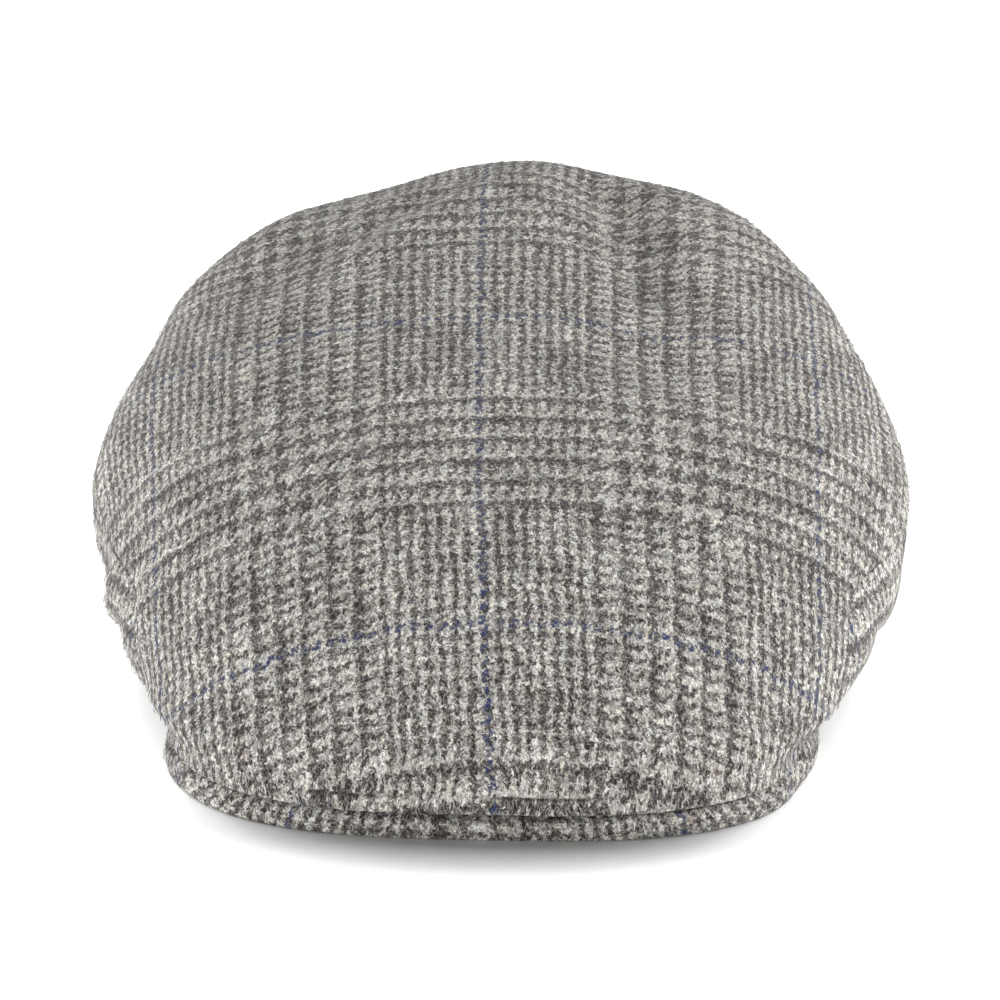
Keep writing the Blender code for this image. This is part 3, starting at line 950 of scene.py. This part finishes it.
# %% [markdown]
# ## Twill weave
#
# In a two-and-two twill each warp yarn goes over two weft yarns and under two, and its neighbour does the same one
# step further on, which draws fine diagonals. Counting yarns tells which one is on top at any place, and how high it
# stands. The sway bends the yarns slowly, and the fuzz takes away their clean edges.

# %% The weave as a node group
SWAY_SCALE = 140.0
FUZZ_SCALES = (800.0, 2600.0)
ARCH_POWER = 0.6
ROUND_POWER = 0.7


def weave_group():
    """The numbers of the yarns at a place, which is on top, and how high it stands."""
    group, w, given, out = new_group(
        "Two and two twill",
        {"Cloth": "Vector", **floats("Warp pitch", "Weft pitch", "Fuzz", "Sway", "First step")},
        floats("Warp", "Weft", "Warp on top", "Relief"),
    )
    place = w.node("ShaderNodeSeparateXYZ", {0: given["Cloth"]}).outputs
    shifts = []
    for scale, strength in ((SWAY_SCALE, "Sway"), *((scale, "Fuzz") for scale in FUZZ_SCALES)):
        parts = w.node("ShaderNodeSeparateColor", {0: w.noise(given["Cloth"], scale, 1.0, out="Color")})
        shifts.append((parts.outputs, given[strength]))
    counts = []
    for k, pitch in enumerate(("Warp pitch", "Weft pitch")):
        count = w.maths("DIVIDE", place[k], given[pitch])
        for parts, strength in shifts:
            count = w.added(count, parts[k], 0.5, strength)
        counts.append(count)
    warp, weft = (w.maths("FLOOR", count) for count in counts)
    over_u, over_v = (w.maths("FRACT", count) for count in counts)
    # The warp is on top at steps 1 and 0, the weft at steps 2 and 3, each in one arch over two yarns.
    step = w.modulo(w.add(w.minus(warp, weft), given["First step"]), 4.0)
    on_top = w.less(step, 1.5)
    warp_place = w.times(w.add(over_v, w.less(step, 0.5)), 0.5)
    weft_place = w.times(w.add(over_u, w.more(step, 2.5)), 0.5)
    arch, round_yarn = (
        w.maths("SINE", w.times(w.mix(on_top, if_weft, if_warp), math.pi))
        for if_weft, if_warp in ((weft_place, warp_place), (over_v, over_u))
    )
    relief = w.times(w.maths("POWER", arch, ARCH_POWER), w.maths("POWER", round_yarn, ROUND_POWER))
    w.feed(out, {"Warp": warp, "Weft": weft, "Warp on top": on_top, "Relief": relief})
    return group


weave = weave_group()
print("the weave group has", len(weave.nodes), "nodes")

# %% [markdown]
# ## The glen check
#
# A glen check comes only from the order of the yarns. In one band dark and light yarns change every four, in the next
# every two, in the warp and in the weft. The middle dark pair of each fine band is blue.

# %% The order of the yarns as a node group
def check_group():
    """Whether the yarn on top is dark, and whether it is blue."""
    group, w, given, out = new_group(
        "Glen check",
        floats("Warp", "Weft", "Warp on top", "Broad band", "Warp repeat", "Weft repeat", "Blue warp", "Blue weft"),
        floats("Dark", "Blue"),
    )
    # Yarns are counted in whole numbers, so each limit lies halfway between two of them.
    found = []
    for name in ("Warp", "Weft"):
        blue_yarn = given["Blue " + name.lower()]
        spot = w.modulo(w.add(given[name], blue_yarn), given[name + " repeat"])
        broad = w.less(spot, w.minus(given["Broad band"], 0.5))
        fours, twos = w.less(w.modulo(spot, 8.0), 3.5), w.less(w.modulo(spot, 4.0), 1.5)
        found.append((w.mix(broad, twos, fours), w.maths("COMPARE", spot, w.add(blue_yarn, 0.5), 0.6)))
    for label, warp, weft in zip(("Dark", "Blue"), *found):
        w.feed(out, {label: w.mix(given["Warp on top"], weft, warp)})
    return group


check = check_group()
print("the check group has", len(check.nodes), "nodes")

# %% [markdown]
# ## Wool fibres
#
# Fulling and brushing pull the wool over the weave in light and dark curls, about two millimetres long and mostly along
# the nap. Each layer below is noise stretched along one direction and bent a little. Keeping the highest at each place
# makes some curls lie over others. The scales are in waves to the metre.

# %% The fibres as a node group
# turn_deg, length_mm, width_mm
CURLS = (
    (82, 2.1, 0.62),
    (58, 1.8, 0.58),
    (112, 1.9, 0.66),
    (20, 1.5, 0.60),
    (150, 1.6, 0.56),
)
LAYER_SHIFT = (0.31, 0.17)
LAYER_ROUGHNESS = 0.45
BEND_SCALE = 850.0
HOLLOW_SHADE_SCALE = 1500.0
TONE_SCALE = 70.0
HUE_SCALE = 260.0
FLECK_SCALE = 620.0
WOOL_ROUGHNESS = 0.6
CURL_RANGE = (0.46, 0.82)
FLECK_RANGE = (0.88, 0.91)


def wool_group():
    """How high the fibres lie, a painted shade for the hollows between them and their slow changes of colour."""
    group, w, given, out = new_group(
        "Wool fibres",
        {"Cloth": "Vector", "Bend": "Float"},
        floats("Fibre", "Painted hollow shade", "Tone", "Hue", "Fleck"),
    )
    cloth = given["Cloth"]
    wave = w.vectors("SUBTRACT", {0: w.noise(cloth, BEND_SCALE, 1.0, out="Color"), 1: (0.5, 0.5, 0.5)})
    bent = w.vectors("ADD", {0: cloth, 1: w.vectors("SCALE", {0: wave, "Scale": given["Bend"]})})
    highest = None
    for k, (turn_deg, length_mm, width_mm) in enumerate(CURLS):
        turned = w.node("ShaderNodeMapping", {
            "Vector": bent,
            "Location": (LAYER_SHIFT[0] * k, LAYER_SHIFT[1] * k, 0.0),
            "Rotation": (0.0, 0.0, math.radians(turn_deg)),
            "Scale": (length_mm / 1000, width_mm / 1000, 1.0),
        }, vector_type="TEXTURE")
        layer = w.noise(turned.outputs[0], 1.0, 1.0, LAYER_ROUGHNESS)
        highest = layer if highest is None else w.maths("MAXIMUM", highest, layer)
    w.feed(out, {
        "Fibre": w.ramp(highest, *CURL_RANGE),
        # Painted shade: fine random noise that darkens the tone as if in hollows between the fibres.
        "Painted hollow shade": w.noise(bent, HOLLOW_SHADE_SCALE, 2.0, WOOL_ROUGHNESS),
        "Tone": w.noise(cloth, TONE_SCALE, 3.0, WOOL_ROUGHNESS),
        "Hue": w.noise(bent, HUE_SCALE, 2.0, WOOL_ROUGHNESS),
        "Fleck": w.ramp(w.noise(bent, FLECK_SCALE, 0.0), *FLECK_RANGE),
    })
    return group


wool = wool_group()
print("the wool group has", len(wool.nodes), "nodes")

# %% [markdown]
# ## The tweed material
#
# One material dresses all four pieces. The yarns, the fibres and painted shade between them add up to one tone from 0
# to 1, and a ramp turns it into the greys of the wool. Wool's fuzz catches light at grazing angles, which is what Sheen
# is for.

# %% Colours and the material
TWILL = {"Warp pitch": 0.000918, "Weft pitch": 0.000975, "Sway": 2.7, "First step": 2.0}
CHECK = {"Broad band": 48.0, "Warp repeat": 108.0, "Weft repeat": 116.0, "Blue warp": 76.0, "Blue weft": 80.0}
FUZZ = 1.5
FIBRE_BEND = 0.0016
GREYS = (
    (0.00, (0.022, 0.0170, 0.0165, 1.0)),
    (0.25, (0.088, 0.079, 0.077, 1.0)),
    (0.50, (0.254, 0.243, 0.224, 1.0)),
    (0.75, (0.477, 0.462, 0.430, 1.0)),
    (1.00, (0.797, 0.778, 0.735, 1.0)),
)
BLUE_YARN = (0.026, 0.040, 0.125, 1.0)
WARM_WOOL = (1.03, 1.00, 0.95, 1.0)
COOL_WOOL = (0.98, 1.00, 1.03, 1.0)
HUE_RANGE = (0.35, 0.65)
FLECK = (0.36, 0.24, 0.14, 1.0)
FLECK_STRENGTH = 0.5
FIBRE_OVER_BLUE = (0.38, 0.75)
BLUE_LEFT = (0.88, 0.12)
MIDDLE_TONE = 0.39
YARN_SHARE = 0.39
FIBRE_SHARE = 0.84
HOLLOW_SHADE_SHARE = 0.74
GAP_SHADE_SHARE = 0.10
TONE_SHARE = 0.54
YARN_HEIGHT = 0.5
FIBRE_HEIGHT = 0.9
BUMP_STRENGTH = 0.7
BUMP_DISTANCE = 0.00030


def greys_ramp(w, tone):
    made = w.node("ShaderNodeValToRGB", {0: tone})
    steps = made.color_ramp.elements
    while len(steps) < len(GREYS):
        steps.new(0.5)
    for step, (place, colour) in zip(steps, GREYS):
        step.position = place
        step.color = colour
    return made.outputs[0]


def yarns_at(w, place, fuzz):
    """What the twill and the check say about a place on the cloth."""
    twill = w.node("ShaderNodeGroup", {"Cloth": place, "Fuzz": fuzz, **TWILL}, node_tree=weave).outputs
    yarns = {label: twill[label] for label in ("Warp", "Weft", "Warp on top")}
    return twill, w.node("ShaderNodeGroup", {**yarns, **CHECK}, node_tree=check).outputs


def tweed(name):
    material, w, shader = new_material(name)
    place = w.node("ShaderNodeUVMap", uv_map=WARP_UV).outputs[0]
    twill, glen = yarns_at(w, place, FUZZ)
    fibres = w.node("ShaderNodeGroup", {"Cloth": place, "Bend": FIBRE_BEND}, node_tree=wool).outputs
    tone = MIDDLE_TONE
    for value, middle, share in (
        (glen["Dark"], 0.5, -YARN_SHARE),
        (fibres["Fibre"], 0.42, FIBRE_SHARE),
        # Painted shade: the fine hollow noise darkens the tone as if between the fibres.
        (fibres["Painted hollow shade"], 0.5, HOLLOW_SHADE_SHARE),
        # Painted shade: the tone darkens where the twill's relief sinks between the yarns.
        (twill["Relief"], 0.6, GAP_SHADE_SHARE),
        (fibres["Tone"], 0.5, TONE_SHARE),
    ):
        tone = w.added(tone, value, middle, share)
    tint = w.mix(w.ramp(fibres["Hue"], *HUE_RANGE), WARM_WOOL, COOL_WOOL, "RGBA")
    colour = w.mix(1.0, greys_ramp(w, tone), tint, "RGBA", blend_type="MULTIPLY")
    blue_left = w.ramp(fibres["Fibre"], *FIBRE_OVER_BLUE, *BLUE_LEFT)
    colour = w.mix(w.times(glen["Blue"], blue_left), colour, BLUE_YARN, "RGBA")
    colour = w.mix(w.times(fibres["Fleck"], FLECK_STRENGTH), colour, FLECK, "RGBA")
    height = w.add(w.times(twill["Relief"], YARN_HEIGHT), w.times(fibres["Fibre"], FIBRE_HEIGHT))
    bump = w.node("ShaderNodeBump", {"Strength": BUMP_STRENGTH, "Distance": BUMP_DISTANCE, "Height": height})
    w.feed(shader, {
        "Base Color": colour,
        "Normal": bump.outputs[0],
        "Roughness": 0.95,
        "Specular IOR Level": 0.20,
        "Sheen Weight": 0.20,
        "Sheen Roughness": 0.50,
    })
    return material


tweed_cloth = tweed("glen_check_tweed")
for piece in (top_piece, right_piece, left_piece, peak_piece):
    piece.data.materials.append(tweed_cloth)
    print("dressed", piece.name)

# %% [markdown]
# ## Loose fibres
#
# Fibres that stand free catch the light one by one and blur the cap's outline. Each is a curved spindle of a dozen
# triangles. Geometry Nodes strews copies over the right side of the cloth, lays them along the nap and stores their
# place on the cloth, so that a fibre can take the colour of its yarn.

# %% One fibre
FIBRE_POINTS = ((-0.50, -0.05, 0.00), (-0.18, 0.10, 0.17), (0.20, 0.03, 0.22), (0.50, -0.12, 0.12))
FIBRE_RADIUS = 0.030


def fibre_mesh():
    """A spindle one unit long: a tip, two rings of three points and a tip."""
    tip, second, third, end = (np.array(p) for p in FIBRE_POINTS)
    points = [tip]
    for centre in (second, third):
        for turn in np.radians((90, 210, 330)):
            points.append(centre + FIBRE_RADIUS * np.array((0.0, np.cos(turn), np.sin(turn))))
    points.append(end)
    faces = []
    for a, b in ((1, 2), (2, 3), (3, 1)):
        faces += [(0, b, a), (a, b, b + 3, a + 3), (a + 3, b + 3, 7)]
    mesh = bpy.data.meshes.new("one_fibre")
    mesh.from_pydata([tuple(p) for p in points], [], faces)
    return mesh


one_fibre = add_object("one_fibre", fibre_mesh())
print("one fibre has", triangles(one_fibre.data), "triangles")

# %% Strew the fibres with Geometry Nodes
NAP_INPUTS = {"Density": "Float", "Seed": "Int", **floats("Length", "Spread", "Lowest"),
              "Fibre": "Object", "Wool": "Material"}
STEEPEST_UNDER = -0.9
DOWN_THE_CLOTH = (0.0, -0.6, -0.8)
ROLL_LIMITS = (-0.7, 0.7)
PITCH_LIMITS = (-0.25, 0.05)
LENGTH_LIMITS = (0.5, 1.4)


def nap_group():
    """Loose fibres on the right side of a piece of cloth."""
    geometry = {"Geometry": "Geometry"}
    group, w, given, out = new_group("Loose fibres", {**geometry, **NAP_INPUTS}, geometry, "GeometryNodeTree")

    def named(name, kind):
        return w.node("GeometryNodeInputNamedAttribute", {"Name": name}, data_type=kind).outputs["Attribute"]

    def height_of(kind):
        return w.node("ShaderNodeSeparateXYZ", {0: w.node(kind).outputs[0]}).outputs["Z"]

    def store(points, name, value, kind):
        feeds = {"Geometry": points, "Name": name, "Value": value}
        return w.node("GeometryNodeStoreNamedAttribute", feeds, data_type=kind, domain="POINT").outputs["Geometry"]

    def chance(limits, order):
        feeds = {"Seed": w.add(given["Seed"], order)}
        made = w.node("FunctionNodeRandomValue", feeds, data_type="FLOAT")
        w.feed([socket for socket in enabled(made.inputs) if socket.name in ("Min", "Max")], numbered(*limits))
        return enabled(made.outputs)[0]

    above = w.more(height_of("GeometryNodeInputPosition"), given["Lowest"])
    not_under = w.more(height_of("GeometryNodeInputNormal"), STEEPEST_UNDER)
    strew = w.node("GeometryNodeDistributePointsOnFaces", {
        "Mesh": given["Geometry"],
        "Selection": w.times(named(RIGHT_SIDE, "BOOLEAN"), w.times(above, not_under)),
        "Density": given["Density"],
        "Seed": given["Seed"],
    })
    points = store(strew.outputs["Points"], "root", named(WARP_UV, "FLOAT_VECTOR"), "FLOAT_VECTOR")
    points = store(points, "shade", chance((0.0, 1.0), 1), "FLOAT")
    down = w.node("FunctionNodeAlignRotationToVector", {"Vector": DOWN_THE_CLOTH}, axis="X")
    upright = w.node("FunctionNodeAlignRotationToVector", {
        "Rotation": down.outputs[0],
        "Vector": strew.outputs["Normal"],
    }, axis="Z", pivot_axis="AUTO")
    turn = w.node("ShaderNodeCombineXYZ", {
        "X": chance(ROLL_LIMITS, 2),
        "Y": chance(PITCH_LIMITS, 3),
        "Z": w.times(chance((-1.0, 1.0), 4), given["Spread"]),
    })
    spin = w.node("FunctionNodeRotateRotation", {
        "Rotation": upright.outputs[0],
        "Rotate By": w.node("FunctionNodeEulerToRotation", {0: turn.outputs[0]}).outputs[0],
    }, rotation_space="LOCAL")
    place = w.node("GeometryNodeInstanceOnPoints", {
        "Points": points,
        "Instance": w.node("GeometryNodeObjectInfo", {"Object": given["Fibre"]}).outputs["Geometry"],
        "Rotation": spin.outputs[0],
        "Scale": w.times(given["Length"], chance(LENGTH_LIMITS, 5)),
    })
    real = w.node("GeometryNodeRealizeInstances", {"Geometry": place.outputs["Instances"]})
    feeds = {"Geometry": real.outputs["Geometry"], "Material": given["Wool"]}
    w.feed(out, {"Geometry": w.node("GeometryNodeSetMaterial", feeds).outputs["Geometry"]})
    return group


nap = nap_group()
print("the nap group has", len(nap.nodes), "nodes")

# %% Wool of the loose fibres
FIBRE_TONE = 0.44
FIBRE_YARN_SHARE = 0.26
FIBRE_CHANCE_SHARE = 0.95
BLUE_FIBRES = 0.35


def loose_wool():
    """The same greys by the yarn under the fibre, and by chance."""
    material, w, shader = new_material("loose_wool")
    root = w.node("ShaderNodeAttribute", attribute_name="root").outputs["Vector"]
    shade = w.node("ShaderNodeAttribute", attribute_name="shade").outputs["Fac"]
    glen = yarns_at(w, root, 0.0)[1]
    tone = w.added(FIBRE_TONE, 0.5, glen["Dark"], FIBRE_YARN_SHARE)
    tone = w.added(tone, shade, 0.5, FIBRE_CHANCE_SHARE)
    blue = w.times(glen["Blue"], w.less(shade, BLUE_FIBRES))
    colour = w.mix(blue, greys_ramp(w, tone), BLUE_YARN, "RGBA")
    w.feed(shader, {"Base Color": colour, "Roughness": 0.70, "Specular IOR Level": 0.30})
    return material


loose = loose_wool()
print("the loose fibres take their colour from the yarns below")

# %% Strew them over the four pieces
# name, piece, per_mm2, length_mm, spread_deg, seed
NAPS = (
    ("top_panel_nap", top_piece, 0.200, 2.1, 65, 3),
    ("top_panel_undernap", top_piece, 0.200, 1.5, 85, 11),
    ("side_panel_right_nap", right_piece, 0.34, 2.0, 70, 5),
    ("side_panel_left_nap", left_piece, 0.34, 2.0, 70, 7),
    ("peak_nap", peak_piece, 0.45, 1.7, 80, 9),
)
LOWEST_ROOT = 0.0010


def grow(name, piece, per_mm2, length_mm, spread_deg, seed):
    """A piece of loose fibres, made real."""
    made = add_object(name, piece.data.copy())
    modifier = made.modifiers.new("Loose fibres", "NODES")
    modifier.node_group = nap
    sizes = (per_mm2 * 1e6, seed, length_mm / 1000, math.radians(spread_deg), LOWEST_ROOT)
    values = dict(zip(NAP_INPUTS, (*sizes, one_fibre, loose)))
    for item in nap.interface.items_tree:
        if item.in_out == "INPUT" and item.name in values:
            modifier[item.identifier] = values[item.name]
    made.update_tag()
    bpy.context.view_layer.update()
    mesh = bpy.data.meshes.new_from_object(made.evaluated_get(bpy.context.evaluated_depsgraph_get()))
    made.modifiers.remove(modifier)
    made.data = mesh
    join_cap(made)


for row in NAPS:
    grow(*row)
bpy.data.objects.remove(one_fibre)

# %% [markdown]
# ## Table, light and camera
#
# Two large softboxes at the sides do most of the work and two weaker ones help from in front, so the sides are brighter
# than the middle. The white table has a ring of softboxes of its own through Light Linking, strong behind the cap and
# weak in front, which keeps it white and lays a short shadow. The camera looks down from in front with a long lens.

# %% Table and light
# name, place, size, watts
SOFTBOXES = (
    ("above_front", (0.0, -0.45, 1.10), 0.9, 3.8),
    ("left_front", (-0.9, -0.80, 0.40), 0.6, 9.4),
    ("left", (-1.2, -0.10, 0.45), 0.6, 8.2),
    ("right", (1.2, -0.10, 0.45), 0.6, 20.6),
)
TABLE_LIGHTS = ((30, 114.0), (50, 67.0), (70, 42.0), (150, 9.0))
TABLE_LIGHT_ELEVATION = math.radians(30)
TABLE_LIGHT_DISTANCE = 3.1
TABLE_LIGHT_SIZE = 1.1
TABLE_HALF = 6.0
TABLE_WHITE = (0.85, 0.85, 0.85, 1.0)
LIGHT_TARGET = Vector((0.0, 0.0, 0.05))
WORLD_STRENGTH = 0.06


def make_table():
    mesh = bpy.data.meshes.new("table_top")
    corners = [(x * TABLE_HALF, y * TABLE_HALF, 0) for x, y in ((-1, -1), (1, -1), (1, 1), (-1, 1))]
    mesh.from_pydata(corners, [], [(0, 1, 2, 3)])
    material, w, shader = new_material("white_table")
    w.feed(shader, {"Base Color": TABLE_WHITE, "Roughness": 1.0, "Specular IOR Level": 0.0})
    mesh.materials.append(material)
    made = add_object("table_top", mesh)
    return made


def make_softbox(name, place, size, watts, table_link):
    """A softbox that lights all but the table (EXCLUDE) or only the table (INCLUDE)."""
    light = bpy.data.lights.new(name, "AREA")
    light.shape = "SQUARE"
    light.size = size
    light.energy = watts
    made = add_object(name, light)
    made.location = place
    made.rotation_euler = (LIGHT_TARGET - Vector(place)).to_track_quat("-Z", "Y").to_euler()
    receivers = bpy.data.collections.new(name + "_receivers")
    receivers.objects.link(table)
    receivers.collection_objects[0].light_linking.link_state = table_link
    made.light_linking.receiver_collection = receivers


table = make_table()
world = bpy.data.worlds.new("studio")
world.use_nodes = True
backdrop = world.node_tree.nodes["Background"].inputs
Wires(world.node_tree).feed(backdrop, {"Color": (1.0, 1.0, 1.0, 1.0), "Strength": WORLD_STRENGTH})
bpy.context.scene.world = world
bpy.context.scene.view_settings.view_transform = "Standard"
for box in SOFTBOXES:
    make_softbox(*box, "EXCLUDE")
level = TABLE_LIGHT_DISTANCE * math.cos(TABLE_LIGHT_ELEVATION)
up = TABLE_LIGHT_DISTANCE * math.sin(TABLE_LIGHT_ELEVATION)
for turn_deg, watts in TABLE_LIGHTS:
    for side in (-1, 1):
        turn = side * math.radians(turn_deg)
        place = (level * math.sin(turn), level * math.cos(turn), up)
        make_softbox(f"table_light_{side * turn_deg}", place, TABLE_LIGHT_SIZE, watts, "INCLUDE")
print("the table and", len(SOFTBOXES) + 2 * len(TABLE_LIGHTS), "softboxes are placed")

# %% Camera
AZIMUTH = math.radians(2.5)
ELEVATION = math.radians(22.0)
DISTANCE = 0.95
AIM = Vector((0.001, -0.0083, 0.039))
LENS = 123.12
camera = add_object("camera", bpy.data.cameras.new("camera"))
camera.data.lens = LENS
back = Vector((math.sin(AZIMUTH) * math.cos(ELEVATION), -math.cos(AZIMUTH) * math.cos(ELEVATION), math.sin(ELEVATION)))
camera.location = AIM + back * DISTANCE
camera.rotation_euler = back.to_track_quat("Z", "Y").to_euler()
bpy.context.scene.camera = camera
print("the camera stands", round(camera.location.z, 2), "m above the table")
